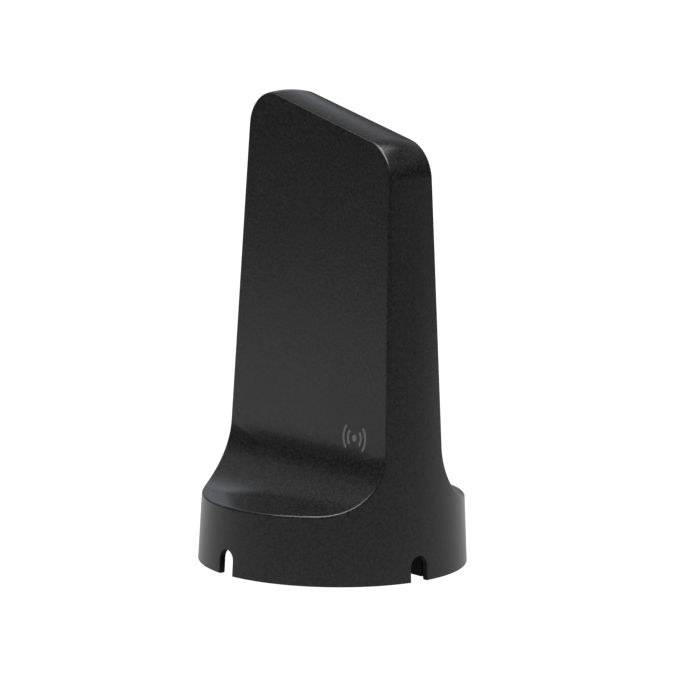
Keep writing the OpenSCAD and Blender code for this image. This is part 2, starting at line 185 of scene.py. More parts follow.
class Outline:
    """The tower's outline in the XZ plane above the sweep, with its two round corners."""

    def __init__(self):
        self.corners = [np.array(RIGHT_CORNER), np.array(LEFT_CORNER)]
        self.radii = [(cone_r(c[1]) - abs(c[0])) * math.cos(WALL_DRAFT) for c in self.corners]
        gap = self.corners[0] - self.corners[1]
        lean = math.asin((self.radii[1] - self.radii[0]) / np.linalg.norm(gap))
        self.top_tilt = math.atan2(-gap[1], gap[0]) + lean
        self.side_top = [c[1] + r * math.sin(WALL_DRAFT) for c, r in zip(self.corners, self.radii)]
        self.crown = [cone_r(z) / math.cos(WALL_DRAFT) for z in self.side_top]

    def side(self, side, z):
        """Points, normals and crown radii up a narrow face. side is 0 right, 1 left."""
        sign = 1 - 2 * side
        point = np.stack([sign * cone_r(z), z], -1)
        normal = np.broadcast_to([sign * math.cos(WALL_DRAFT), math.sin(WALL_DRAFT)], point.shape)
        return point, normal, cone_r(z) / math.cos(WALL_DRAFT)

    def corner(self, side, part):
        """The same round a corner, from its narrow face (0) to the top (1)."""
        sign = 1 - 2 * side
        start = WALL_DRAFT
        end = math.pi / 2 - sign * self.top_tilt
        turn = start + np.asarray(part) * (end - start)
        normal = np.stack([sign * np.cos(turn), np.sin(turn)], -1)
        point = self.corners[side] + self.radii[side] * normal
        return point, normal, np.full(len(turn), self.crown[side])

    def top(self, part):
        """The same along the top, from the right corner (0) to the left one (1)."""
        normal = np.array([math.sin(self.top_tilt), math.cos(self.top_tilt)])
        ends = [c + r * normal for c, r in zip(self.corners, self.radii)]
        part = np.asarray(part)[:, None]
        point = ends[0] * (1 - part) + ends[1] * part
        crown = self.crown[0] + part[:, 0] * (self.crown[1] - self.crown[0])
        return point, np.broadcast_to(normal, point.shape), crown


outline = Outline()


# ---- the shell's surface --------------------------------------------------------------

RIM_ANGLE = math.radians(50)      # where the edge turns from the rim into the crease
N_RIM = 72                        # columns along the rim and along the top
N_ACROSS = 40                     # columns across a narrow face
N_CREASE = 44                     # rows up the shelf and sweep
N_FACE = 30                       # rows up the broad face
N_CORNER = 24                     # rows round a corner
N_SKIRT = 14                      # rows down the skirt
N_ROUND = 5                       # steps across a rounded edge
N_HALVINGS = 48                   # halvings that find where the rim's edge lies
N_SETTLE = 12                     # rounds that settle the ball's place on the crowned band
SKIRT_ROUND = 0.4                 # rounding of the skirt's lower edge


def smooth(x):
    """Runs from 0 to 1 with level ends, as x does."""
    x = np.clip(x, 0.0, 1.0)
    return x * x * (3 - 2 * x)


class Edge:
    """A run of the rounded edge between the band and the back face, as a rolling ball.

    Each station has the ball's centre, the directions from it to the two faces, and the place t
    on the profile. Above the cone, band holds its point, normal and crown radius there."""

    def __init__(self, centre, to_band, to_face, ball, t, band):
        self.centre, self.to_band, self.to_face = centre, to_band, to_face
        self.ball, self.t, self.band = ball, t, band

    def parts(self):
        """The six arrays, one row for each station."""
        return self.centre, self.to_band, self.to_face, self.ball, self.t, self.band

    def arcs(self):
        """(stations, steps, 3) points from the band to the face."""
        steps = []
        angle = np.arccos(np.clip((self.to_band * self.to_face).sum(-1), -1, 1))[:, None]
        for k in range(N_ROUND + 1):
            part = k / N_ROUND
            direction = (np.sin((1 - part) * angle) * self.to_band
                         + np.sin(part * angle) * self.to_face) / np.sin(angle)
            steps.append(self.centre + self.ball[:, None] * direction)
        return np.stack(steps, 1)

    def joined(self, other):
        """This run followed by another that starts where it ends."""
        return Edge(*[np.concatenate([a, b[1:]]) for a, b in zip(self.parts(), other.parts())])

    def turned(self):
        """The same run from its other end."""
        return Edge(*[a[::-1] for a in self.parts()])


class Skin:
    """The shell's surface moved inwards by `inset`, with every edge rounded."""

    def __init__(self, inset, rim_round, arris_round, top_round):
        self.inset = inset
        self.rim_round, self.arris_round, self.top_round = rim_round, arris_round, top_round

    def cone(self, z, more=0.0):
        """The radius of this skin at height z, moved in by `more` as well."""
        return cone_r(z) - (self.inset + more) / math.cos(WALL_DRAFT)

    def ball_at(self, t):
        """Edge radius: the rim's at the shelf, the arris's at the end of the sweep."""
        part = smooth((t - profile.t_shelf) / (profile.t_sweep - profile.t_shelf))
        return self.rim_round + part * (self.arris_round - self.rim_round)

    def low_edge(self, t, side):
        """Stations on the cone, from the rim up to the end of the sweep."""
        ball = self.ball_at(t)
        point, normal = profile.at(t)
        point = point - (self.inset + ball)[..., None] * normal
        y, z = point[:, 0], point[:, 1]
        x = np.sqrt(np.maximum(self.cone(z, ball) ** 2 - y ** 2, 0.0)) * (1 - 2 * side)
        centre = np.stack([x, y, z], -1)
        out = unit(np.stack([x, y], -1)) * math.cos(WALL_DRAFT)
        to_band = np.concatenate([out, np.full((len(t), 1), math.sin(WALL_DRAFT))], 1)
        to_face = np.concatenate([np.zeros((len(t), 1)), normal], 1)
        return Edge(centre, to_band, to_face, ball, t, np.zeros((len(t), 5)))

    def rim_t(self, turn):
        """The t at which the edge crosses the direction `turn` round the axis."""
        before_rim = -6.0          # a t that lies outside the rim
        low, high = np.full(len(turn), before_rim), np.full(len(turn), profile.t_sweep)
        for _ in range(N_HALVINGS):
            mid = (low + high) / 2
            ball = self.ball_at(mid)
            point, normal = profile.at(mid)
            point = point - (self.inset + ball)[..., None] * normal
            outside = point[:, 0] > self.cone(point[:, 1], ball) * np.sin(turn)
            low, high = np.where(outside, mid, low), np.where(outside, high, mid)
        return (low + high) / 2

    def rim_edge(self):
        """Stations along the back rim, from its right end to its left end."""
        turn = np.linspace(RIM_ANGLE, math.pi - RIM_ANGLE, N_RIM + 1)
        t = self.rim_t(turn)
        edge = self.low_edge(t, 0)
        radius = np.hypot(edge.centre[:, 0], edge.centre[:, 1])
        edge.centre[:, 0] = radius * np.cos(turn)
        edge.centre[:, 1] = radius * np.sin(turn)
        edge.to_band[:, 0] = np.cos(turn) * math.cos(WALL_DRAFT)
        edge.to_band[:, 1] = np.sin(turn) * math.cos(WALL_DRAFT)
        return edge

    def high_edge(self, point, normal, crown, ball):
        """Stations on the crowned band: narrow faces, corners and top."""
        point = point - self.inset * normal
        crown = crown - self.inset
        draft = TOWER_DRAFT
        y = np.full(len(point), 8.0)          # a first guess, which the rounds below settle
        for _ in range(N_SETTLE):
            reach = np.sqrt((crown - ball) ** 2 - y ** 2)
            z = point[:, 1] - normal[:, 1] * (crown - reach)
            y = TOWER_T / 2 - math.tan(draft) * z - (self.inset + ball) / math.cos(draft)
        x = point[:, 0] - normal[:, 0] * (crown - reach)
        centre = np.stack([x, y, z], -1)
        lean = reach / (crown - ball)
        to_band = np.stack([normal[:, 0] * lean, y / (crown - ball), normal[:, 1] * lean], -1)
        to_face = np.broadcast_to([0.0, math.cos(draft), math.sin(draft)], centre.shape)
        t = profile.t_on_face(z + (ball + self.inset) * math.sin(draft))
        band = np.concatenate([point, normal, crown[:, None]], 1)
        return Edge(centre, to_band, to_face, ball, t, band)

    def side_edge(self, side):
        """Stations from the rim's end up the crease, the arris and the corner."""
        start = self.rim_t(np.array([RIM_ANGLE]))[0]
        low = self.low_edge(np.linspace(start, profile.t_sweep, N_CREASE + 1), side)
        z = np.linspace(low.centre[-1, 2], outline.side_top[side], N_FACE + 1)
        arris = np.full(N_FACE + 1, self.arris_round)
        high = self.high_edge(*outline.side(side, z), arris)
        part = np.linspace(0, 1, N_CORNER + 1)
        ball = self.arris_round + smooth(part) * (self.top_round - self.arris_round)
        corner = self.high_edge(*outline.corner(side, part), ball)
        return low.joined(high).joined(corner)

    def top_edge(self):
        """Stations along the sloped top, from the right corner to the left one."""
        part = np.linspace(0, 1, N_RIM + 1)
        return self.high_edge(*outline.top(part), np.full(N_RIM + 1, self.top_round))

    def face_patch(self, right, top, left, rim):
        """Rows of points that fill the shelf, sweep and broad face inside the edge."""
        def flat(edge):
            """The edge's side of the patch as (x, t)."""
            return np.stack([edge.arcs()[:, -1, 0], edge.t], -1)
        side_r, side_l = flat(right), flat(left)
        low, high = flat(rim), flat(top)
        u = np.linspace(0, 1, N_RIM + 1)[None, :, None]
        rise = (side_r[:, 1] - side_r[0, 1]) / (side_r[-1, 1] - side_r[0, 1])
        v = rise[:, None, None]
        grid = ((1 - u) * side_r[:, None] + u * side_l[:, None]
                + (1 - v) * low[None] + v * high[None]
                - (1 - u) * (1 - v) * low[0] - u * (1 - v) * low[-1]
                - (1 - u) * v * high[0] - u * v * high[-1])
        point, normal = profile.at(grid[..., 1])
        point = point - self.inset * normal
        return np.concatenate([grid[..., :1], point], -1)

    def band_row(self, edge, i, weights):
        """Points across the band at one station, from the front edge to the back one."""
        end = edge.arcs()[i, 0]
        if edge.band[i, 4] == 0.0:          # on the cone
            turn = math.atan2(end[1], abs(end[0])) * weights
            radius = self.cone(end[2])
            sign = 1.0 if end[0] > 0 else -1.0
            return np.stack([sign * radius * np.cos(turn), radius * np.sin(turn),
                             np.full(len(weights), end[2])], -1)
        x, z, nx, nz, crown = edge.band[i]
        lean = math.asin(end[1] / crown) * weights
        drop = crown - crown * np.cos(lean)
        return np.stack([x - nx * drop, crown * np.sin(lean), z - nz * drop], -1)


class Mesher:
    """Collects points and faces, and joins points that meet."""

    def __init__(self):
        self.points, self.faces = [], []

    def grid(self, rows, closed=False, flip=False):
        """Quads over a (rows, columns, 3) array of points."""
        rows = np.asarray(rows)
        start = len(self.points)
        self.points.extend(rows.reshape(-1, 3).tolist())
        n_rows, n_cols = rows.shape[:2]
        for i in range(n_rows - 1):
            for j in range(n_cols if closed else n_cols - 1):
                k = (j + 1) % n_cols
                quad = [start + i * n_cols + j, start + i * n_cols + k,
                        start + (i + 1) * n_cols + k, start + (i + 1) * n_cols + j]
                self.faces.append(quad[::-1] if flip else quad)

    def object(self, name, merge=0.002):
        """A mesh object in metres, with the points closer than `merge` millimetres joined."""
        mesh = bpy.data.meshes.new(name)
        mesh.from_pydata(self.points, [], self.faces)
        bm = bmesh.new()
        bm.from_mesh(mesh)
        bmesh.ops.remove_doubles(bm, verts=bm.verts, dist=merge)
        bmesh.ops.recalc_face_normals(bm, faces=bm.faces)
        bmesh.ops.scale(bm, vec=(MM, MM, MM), verts=bm.verts)
        bm.to_mesh(mesh)
        bm.free()
        piece = bpy.data.objects.new(name, mesh)
        bpy.context.collection.objects.link(piece)
        return piece


def lift(rows):
    """Moves points from above the skirt's edge to above the table."""
    return np.asarray(rows) + np.array([0.0, 0.0, SKIRT_GAP])


def mirrored(rows):
    """The same points in front of the XZ plane instead of behind it."""
    return np.asarray(rows) * np.array([1.0, -1.0, 1.0])


def skin_surface(mesher, skin, low_z, flip):
    """Adds a whole skin down to height low_z, and returns the ring of points there."""
    right, top, left, rim = skin.side_edge(0), skin.top_edge(), skin.side_edge(1), skin.rim_edge()
    for edge in (right, top, left.turned(), rim):
        arcs = edge.arcs()
        mesher.grid(lift(arcs), flip=flip)
        mesher.grid(lift(mirrored(arcs)), flip=not flip)
    patch = skin.face_patch(right, top, left, rim)
    mesher.grid(lift(patch), flip=flip)
    mesher.grid(lift(mirrored(patch)), flip=not flip)
    weights = np.linspace(-1, 1, N_ACROSS + 1)
    for edge in (right, top, left):
        rows = [skin.band_row(edge, i, weights) for i in range(len(edge.t))]
        mesher.grid(lift(rows), flip=flip)
    rim_line = rim.arcs()[:, 0]
    right_row = skin.band_row(right, 0, weights)
    left_row = skin.band_row(left, 0, weights)
    ring = np.concatenate([right_row[:-1], rim_line[:-1], left_row[::-1][:-1],
                           mirrored(rim_line)[::-1][:-1]])
    turn = np.arctan2(ring[:, 1], ring[:, 0])
    rows = []
    for part in np.linspace(0, 1, N_SKIRT + 1):
        z = ring[:, 2] * (1 - part) + low_z * part
        radius = skin.cone(z)
        rows.append(np.stack([radius * np.cos(turn), radius * np.sin(turn), z], -1))
    mesher.grid(lift(rows), closed=True, flip=flip)
    return turn


def ring_at(turn, radius, z):
    """Points at height z; radius is one number, or one for each direction in turn."""
    return np.stack([radius * np.cos(turn), radius * np.sin(turn), np.full(len(turn), z)], -1)


def shell_mesh():
    """Tower and skirt as one closed wall, open underneath."""
    mesher = Mesher()
    outer = Skin(0.0, rim_round=0.8, arris_round=0.7, top_round=0.8)
    inner = Skin(WALL, rim_round=0.3, arris_round=0.3, top_round=0.3)
    turn = skin_surface(mesher, outer, SKIRT_ROUND, flip=False)
    inner_turn = skin_surface(mesher, inner, SKIRT_ROUND, flip=True)
    rows = []
    for k in range(N_ROUND + 1):
        a = math.pi / 2 * k / N_ROUND
        rows.append(ring_at(turn, outer.cone(SKIRT_ROUND) - SKIRT_ROUND * (1 - math.cos(a)),
                            SKIRT_ROUND * (1 - math.sin(a))))
    for k in range(N_ROUND + 1):
        a = math.pi / 2 * (1 - k / N_ROUND)
        rows.append(ring_at(inner_turn,
                            inner.cone(SKIRT_ROUND) + SKIRT_ROUND * (1 - math.cos(a)),
                            SKIRT_ROUND * (1 - math.sin(a))))
    mesher.grid(lift(rows), closed=True)
    return mesher.object("shell")


NOTCH_ROUND = 0.3         # rounding of the cut edge
N_LEG, N_ARCH = 6, 24     # steps up a notch's side and round its arch


def notch_outline():
    """The arched cable notch: points (across, up) and outward normals."""
    half = NOTCH_W / 2
    spring = NOTCH_H - half
    below = -2.0
    points, normals = [], []
    for z in np.linspace(below, spring, N_LEG + 1)[:-1]:
        points.append((half, z))
        normals.append((1.0, 0.0))
    for a in np.linspace(0, math.pi, N_ARCH + 1):
        points.append((half * math.cos(a), spring + half * math.sin(a)))
        normals.append((math.cos(a), math.sin(a)))
    for z in np.linspace(spring, below, N_LEG + 1)[1:]:
        points.append((-half, z))
        normals.append((-1.0, 0.0))
    return np.array(points), np.array(normals)


def notch_cutter():
    """Four arched plugs, flared where they leave the skirt, so that the cut edge is rounded."""
    points, normals = notch_outline()
    outside, inside = 2.0, WALL + 3.0
    rings = [(NOTCH_ROUND, -outside)]
    for k in range(N_ROUND + 1):
        a = math.pi / 2 * (1 - k / N_ROUND)
        rings.append((NOTCH_ROUND * (1 - math.cos(a)), NOTCH_ROUND * (1 - math.sin(a))))
    rings.append((0.0, inside))
    bm = bmesh.new()
    for quarter in range(4):
        turn = math.pi / 2 * quarter
        radial = np.array([math.cos(turn), math.sin(turn), 0.0])
        across = np.array([-math.sin(turn), math.cos(turn), 0.0])
        loops = []
        for flare, depth in rings:
            at = points + flare * normals
            reach = np.sqrt(cone_r(at[:, 1]) ** 2 - at[:, 0] ** 2) - depth
            place = reach[:, None] * radial + at[:, :1] * across
            place[:, 2] = at[:, 1] + SKIRT_GAP
            loops.append([bm.verts.new(Vector(p) * MM) for p in place])
        for one, two in zip(loops, loops[1:]):
            for i in range(len(one)):
                k = (i + 1) % len(one)
                bm.faces.new((one[i], one[k], two[k], two[i]))
        bm.faces.new(loops[0][::-1])
        bm.faces.new(loops[-1])
    bmesh.ops.recalc_face_normals(bm, faces=bm.faces)
    return add_object("notch_cutter", bm)


def apply_modifiers(piece):
    """Replaces the piece's mesh with the one its modifiers make."""
    graph = bpy.context.evaluated_depsgraph_get()
    mesh = bpy.data.meshes.new_from_object(piece.evaluated_get(graph))
    piece.modifiers.clear()
    piece.data = mesh


def smooth_faces(piece, keep_sharp=35):
    """Smooth shading that leaves edges over `keep_sharp` degrees crisp."""
    mesh = piece.data
    mesh.shade_smooth()
    mesh.set_sharp_from_angle(angle=math.radians(keep_sharp))
    weigh = piece.modifiers.new("weighted_normals", "WEIGHTED_NORMAL")
    weigh.keep_sharp = True


def make_shell():
    """The housing: tower and skirt in one moulding, with four cable notches."""
    piece = shell_mesh()
    cutter = notch_cutter()
    cut = piece.modifiers.new("notches", "BOOLEAN")
    cut.operation = "DIFFERENCE"
    cut.solver = "EXACT"
    cut.object = cutter
    apply_modifiers(piece)
    bpy.data.objects.remove(cutter)
    top = cad_box[1][2]
    for point in piece.data.vertices:
        point.co.z = min(point.co.z, top)
    smooth_faces(piece)
    return piece


# ---- materials ---------------------------------------------------------------------

SHELL_DARK, SHELL_LIGHT = (0.003, 0.003, 0.003), (0.015, 0.015, 0.0155)
COVER_DARK, COVER_LIGHT = (0.005, 0.005, 0.0055), (0.012, 0.012, 0.0125)
INK_DARK, INK_LIGHT = (0.12, 0.12, 0.122), (0.16, 0.16, 0.162)


class Paint:
    """A node material with its Principled shader and Object coordinates ready."""

    def __init__(self, name, **sockets):
        self.material = bpy.data.materials.new(name)
        self.material.use_nodes = True
        self.tree = self.material.node_tree
        self.shader = self.tree.nodes["Principled BSDF"]
        self.where = self.node("ShaderNodeTexCoord").outputs["Object"]
        for key, value in sockets.items():
            self.shader.inputs[key.replace("_", " ")].default_value = value

    def node(self, kind, **values):
        """A node; keys with a capital are sockets, the others are settings."""
        made = self.tree.nodes.new(kind)
        for key, value in values.items():
            if key[0].isupper():
                made.inputs[key.replace("_", " ")].default_value = value
            else:
                setattr(made, key, value)
        return made

    def link(self, source, target):
        """Joins an output to an input."""
        self.tree.links.new(source, target)

    def noise(self, per_mm, detail=2.0, roughness=0.5):
        """Noise with about `per_mm` features in a millimetre."""
        made = self.node("ShaderNodeTexNoise", Scale=per_mm / MM, Detail=detail,
                         Roughness=roughness)
        self.link(self.where, made.inputs["Vector"])
        return made.outputs["Fac"]

    def spread(self, source, low, high, start=0.3, end=0.7):
        """Maps a 0 to 1 value between two numbers."""
        made = self.node("ShaderNodeMapRange", From_Min=start, From_Max=end, To_Min=low,
                         To_Max=high)
        self.link(source, made.inputs["Value"])
        return made.outputs["Result"]

    def blend(self, source, low, high, start=0.3, end=0.7):
        """Maps a 0 to 1 value between two colours."""
        ramp = self.node("ShaderNodeValToRGB")
        ramp.color_ramp.elements[0].position = start
        ramp.color_ramp.elements[1].position = end
        ramp.color_ramp.elements[0].color = (*low, 1.0)
        ramp.color_ramp.elements[1].color = (*high, 1.0)
        self.link(source, ramp.inputs["Fac"])
        return ramp.outputs["Color"]

    def bump(self, source, height_mm, strength=1.0, under=None):
        """A normal raised by the source, on top of the normal `under` if there is one."""
        made = self.node("ShaderNodeBump", Strength=strength, Distance=height_mm * MM)
        self.link(source, made.inputs["Height"])
        if under is not None:
            self.link(under, made.inputs["Normal"])
        return made.outputs["Normal"]

    def finish(self, color, roughness, normal):
        """Links the three to the shader, and returns the material."""
        for key, source in (("Base Color", color), ("Roughness", roughness), ("Normal", normal)):
            self.link(source, self.shader.inputs[key])
        return self.material


def textured_plastic(name, dark, light, rough=0.25):
    """Black moulding with a spark-eroded texture: soft pits with a finer grain on them."""
    paint = Paint(name)
    cloud = paint.noise(0.05, detail=3.0)
    pits = paint.noise(1.15, detail=1.0, roughness=0.4)
    grain = paint.noise(3.0, detail=2.0, roughness=0.6)
    color = paint.blend(pits, dark, light)
    roughness = paint.spread(cloud, rough - 0.02, rough + 0.02)
    pitted = paint.bump(pits, 0.02)
    return paint.finish(color, roughness, paint.bump(grain, 0.006, under=pitted))


def paint_piece(piece, material):
    """Gives the whole piece one material."""
    piece.data.materials.clear()
    piece.data.materials.append(material)


def plated(name, dark, light, rough):
    """Metal with a slightly cloudy finish and fine turning marks."""
    paint = Paint(name, Metallic=1.0)
    cloud = paint.noise(0.9, detail=4.0)
    fine = paint.noise(9.0, detail=2.0)
    return paint.finish(paint.blend(cloud, dark, light),
                        paint.spread(cloud, rough - 0.05, rough + 0.08),
                        paint.bump(fine, 0.004, 0.6))


def plain_plastic(name, dark, light, rough, per_mm=1.2):
    """Smooth moulding with a faint cloudiness."""
    paint = Paint(name)
    cloud = paint.noise(per_mm, detail=3.0)
    fine = paint.noise(6.0, detail=2.0)
    return paint.finish(paint.blend(cloud, dark, light),
                        paint.spread(cloud, rough - 0.05, rough + 0.05),
                        paint.bump(fine, 0.004, 0.5))


def rubber():
    """Matte black rubber with a little dust on it."""
    paint = Paint("foot_rubber_matte")
    dust = paint.noise(1.6, detail=4.0)
    grain = paint.noise(7.0, detail=2.0)
    return paint.finish(paint.blend(dust, (0.012, 0.012, 0.012), (0.03, 0.03, 0.031)),
                        paint.spread(dust, 0.72, 0.86), paint.bump(grain, 0.02))


def turned_iron():
    """Grey iron faced in a lathe: fine rings about the axis, with open grain."""
    paint = Paint("turned_grey_iron", Metallic=1.0)
    rings = paint.node("ShaderNodeTexWave", wave_type="RINGS", rings_direction="Z", Scale=1.3 / MM,
                       Distortion=0.6, Detail=2.0)
    paint.link(paint.where, rings.inputs["Vector"])
    grain = paint.noise(2.5, detail=4.0)
    pits = paint.bump(grain, 0.02)
    return paint.finish(paint.blend(grain, (0.2, 0.205, 0.21), (0.34, 0.345, 0.35)),
                        paint.spread(grain, 0.4, 0.55),
                        paint.bump(rings.outputs["Fac"], 0.015, under=pits))


def laminate():
    """Green solder mask over a glass weave."""
    paint = Paint("laminate_green_mask", Roughness=0.3)
    weave = paint.node("ShaderNodeTexChecker", Scale=2.2 / MM)
    paint.link(paint.where, weave.inputs["Vector"])
    cloud = paint.noise(0.3, detail=3.0)
    return paint.finish(paint.blend(cloud, (0.015, 0.11, 0.045), (0.03, 0.16, 0.07)),
                        paint.spread(cloud, 0.25, 0.38),
                        paint.bump(weave.outputs["Fac"], 0.01, 0.4))


def foam():
    """Dark foam with open cells."""
    paint = Paint("open_cell_foam")
    cells = paint.node("ShaderNodeTexVoronoi", Scale=2.4 / MM)
    paint.link(paint.where, cells.inputs["Vector"])
    depth = cells.outputs["Distance"]
    return paint.finish(paint.blend(depth, (0.02, 0.02, 0.022), (0.07, 0.07, 0.075), 0.1, 0.8),
                        paint.spread(depth, 0.85, 0.95, 0.0, 1.0), paint.bump(depth, 0.2))


def ink():
    """Grey pad print that lets the moulding's grain show through."""
    paint = Paint("pad_print_grey")
    pits = paint.noise(1.1, detail=1.0, roughness=0.4)
    fine = paint.noise(6.0, detail=3.0)
    return paint.finish(paint.blend(fine, INK_DARK, INK_LIGHT),
                        paint.spread(fine, 0.4, 0.5), paint.bump(pits, 0.02))


# ---- pieces ------------------------------------------------------------------------

QUARTERS = (0, 90, 180, 270)
FOOT_TURN = 45                 # directions, in degrees, and distances from the axis
FOOT_PITCH = 25.0
BALLAST_TURN = 22.5
BALLAST_PITCH = 32.0
FOOT_R = 5.2
FOOT_EDGE = 0.5                # rounding of a foot's lower edge
HEAD_R, HEAD_H, SHANK_R = 2.8, 1.8, 1.45       # an M3 pan head screw
SCREW_PITCH = 0.5
SCREW_THREAD_H = 0.28          # depth of the screw's thread
SCREW_TIP = 0.8                # length of its plain ends
BOSS_BORE, BOSS_R = 1.55, 3.4
BOSS_LOW, BOSS_TOP = 11.5, 31.5
BOSS_BORE_TOP = 20.5


def around(pitch, turn):
    """Four places round the axis, (x, y) in millimetres."""
    return [(pitch * math.cos(math.radians(q + turn)), pitch * math.sin(math.radians(q + turn)))
            for q in QUARTERS]


def turned_rings(section, at):
    """Rings of points for a turned shape at a place; section is (radius, height) pairs."""
    turn = np.linspace(0, 2 * math.pi, 48, endpoint=False)
    return np.array([ring_at(turn, max(r, POINT_R), z) + np.array([at[0], at[1], 0.0])
                     for r, z in section])


def ride(piece, material, slot, *nodes):
    """Gives a finished piece its material and body, and hides the CAD nodes it stands for; slot is
    not used.
    """
    paint_piece(piece, material)
    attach(piece, BODY)
    if nodes:
        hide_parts(*nodes)


def make_bosses():
    """The cover screws' bosses, moulded inside the housing, each with a blind bore."""
    mesher = Mesher()
    t = np.linspace(0, profile.t_on_face(60), 300)
    line, _ = profile.at(t, WALL * 0.6)        # part way through the shelf's and sweep's wall
    order = np.argsort(line[:, 0])
    turn = np.linspace(0, 2 * math.pi, 48, endpoint=False)
    for x, y in around(FOOT_PITCH, FOOT_TURN):
        rings = []
        for r, z in ((POINT_R, BOSS_BORE_TOP), (BOSS_BORE, BOSS_BORE_TOP), (BOSS_BORE, BOSS_LOW),
                     (BOSS_R, BOSS_LOW), (BOSS_R, BOSS_TOP), (POINT_R, BOSS_TOP)):
            ring = ring_at(turn, r, z) + np.array([x, y, 0.0])
            if z == BOSS_TOP:
                wall = np.interp(abs(ring[:, 1]), line[order, 0], line[order, 1])
                ring[:, 2] = np.minimum(BOSS_TOP, wall)
            rings.append(ring)
        mesher.grid(lift(rings), closed=True)
    return mesher.object("inner_bosses")


GUIDE_T = 1.2
GUIDE_LOW, GUIDE_HIGH = 62.0, 108.0
GUIDE_IN = 28.0                # how near the axis the noses reach
GUIDE_GAP = 0.85               # from the board's middle to a guide


def make_guides():
    """Four ribs with rounded noses that hold the board's edges."""
    mesher = Mesher()
    z = np.linspace(GUIDE_LOW, GUIDE_HIGH, 24)
    nose = GUIDE_T / 2
    steps = np.linspace(-math.pi / 2, math.pi / 2, 9)
    for side in (-1, 1):
        for face in (-1, 1):
            middle = face * (GUIDE_GAP + nose)
            loop = [(GUIDE_IN + nose - nose * math.cos(a), middle + nose * math.sin(a))
                    for a in steps]
            rows = []
            for height in z:
                root = cone_r(height) - WALL / 2
                section = [(side * x, y, height) for x, y in loop]
                section += [(side * root, middle + nose, height),
                            (side * root, middle - nose, height)]
                rows.append(section)
            ends = [[np.mean(row, axis=0)] * len(row) for row in (rows[0], rows[-1])]
            mesher.grid(lift([ends[0], *rows, ends[1]]), closed=True)
    return mesher.object("board_guides")


def make_feet():
    """Four round rubber feet with a shallow groove in the sole."""
    mesher = Mesher()
    foot_t = heights("rubber_feet")[1]
    groove = [(3.4, 0.0), (3.2, 0.18), (2.6, 0.18), (2.4, 0.0)]
    section = [(0.0, foot_t), (FOOT_R, foot_t)]
    section += [(FOOT_R - FOOT_EDGE * (1 - math.cos(a)), FOOT_EDGE * (1 - math.sin(a)))
                for a in np.linspace(0, math.pi / 2, 6)]
    section += groove + [(0.0, 0.0)]
    for at in around(FOOT_PITCH, FOOT_TURN):
        mesher.grid(turned_rings(section, at), closed=True)
    return mesher.object("grip_feet")


def screw_rings(at, seat, length):
    """A pan head under `seat` with a cross recess in it, and a threaded shank above."""
    turn = np.linspace(0, 2 * math.pi, 72, endpoint=False)
    slot_w, slot_l = 0.17 * HEAD_R, 0.62 * HEAD_R          # half the cross's width and length
    slot_depth = 0.55 * HEAD_H
    brim = 0.62                                            # the head's height at its brim
    rings = []
    for r in np.linspace(0.0, HEAD_R, 26):
        ring = ring_at(turn, max(r, POINT_R), 0.0)
        crown = HEAD_H * (brim + (1 - brim) * math.sqrt(max(0.0, 1 - (r / HEAD_R) ** 4)))
        u, v = abs(ring[:, 0]), abs(ring[:, 1])
        long_way, short_way = np.maximum(u, v), np.minimum(u, v)
        recess = (np.clip((slot_w - short_way) / 0.12, 0, 1)
                  * np.clip((slot_l - long_way) / 0.2, 0, 1))
        ring[:, 2] = seat - crown + recess * slot_depth
        rings.append(ring)
    rings += [ring_at(turn, HEAD_R, seat), ring_at(turn, SHANK_R, seat)]
    undercut = 0.3
    low, thread = seat + undercut, length - SCREW_TIP
    rows = int(thread / SCREW_PITCH * 6)
    for k in range(rows + 1):
        z = low + thread * k / rows
        phase = (z / SCREW_PITCH - turn / (2 * math.pi)) % 1.0
        rings.append(ring_at(turn, SHANK_R - SCREW_THREAD_H * abs(2 * phase - 1), z))
    rings += [ring_at(turn, SHANK_R * 0.6, seat + length), ring_at(turn, POINT_R, seat + length)]
    return np.array(rings) + np.array([at[0], at[1], 0.0])


def make_screws(name, node, pitch, turn):
    """Four screws between the lowest and highest point of their CAD node."""
    mesher = Mesher()
    low, high = heights(node)
    seat = low + HEAD_H
    for at in around(pitch, turn):
        mesher.grid(screw_rings(at, seat, high - seat), closed=True)
    return mesher.object(name)


JACK_THREAD_R = 3.175
JACK_THREAD_H = 0.4            # depth of the jack's thread
JACK_PITCH = 25.4 / 36
JACK_TIP, JACK_TOP = heights("jack_body")
NUT_LOW, NUT_HIGH = heights("jack_nut")
WASHER_LOW, WASHER_HIGH = heights("jack_lock_washer")
JACK_BORE = 2.1
JACK_NECK_R = 3.0              # the smooth part inside the nut and the panel
JACK_BARREL_R = 2.5            # the part that the ferrule is crimped on
FLANGE_LOW, FLANGE_HIGH = 24.0, 26.0
HEX_FLAT = 4.0                 # from the axis to a flat of the nut and the flange
TEETH = 14


def hexagon(turn):
    """The distance from the axis to the hexagon's side in each direction."""
    return HEX_FLAT / np.cos((turn + math.pi / 6) % (math.pi / 3) - math.pi / 6)


def ring_piece(name, rings):
    """A piece from rings that run once round its section."""
    mesher = Mesher()
    mesher.grid(rings, closed=True)
    return mesher.object(name)


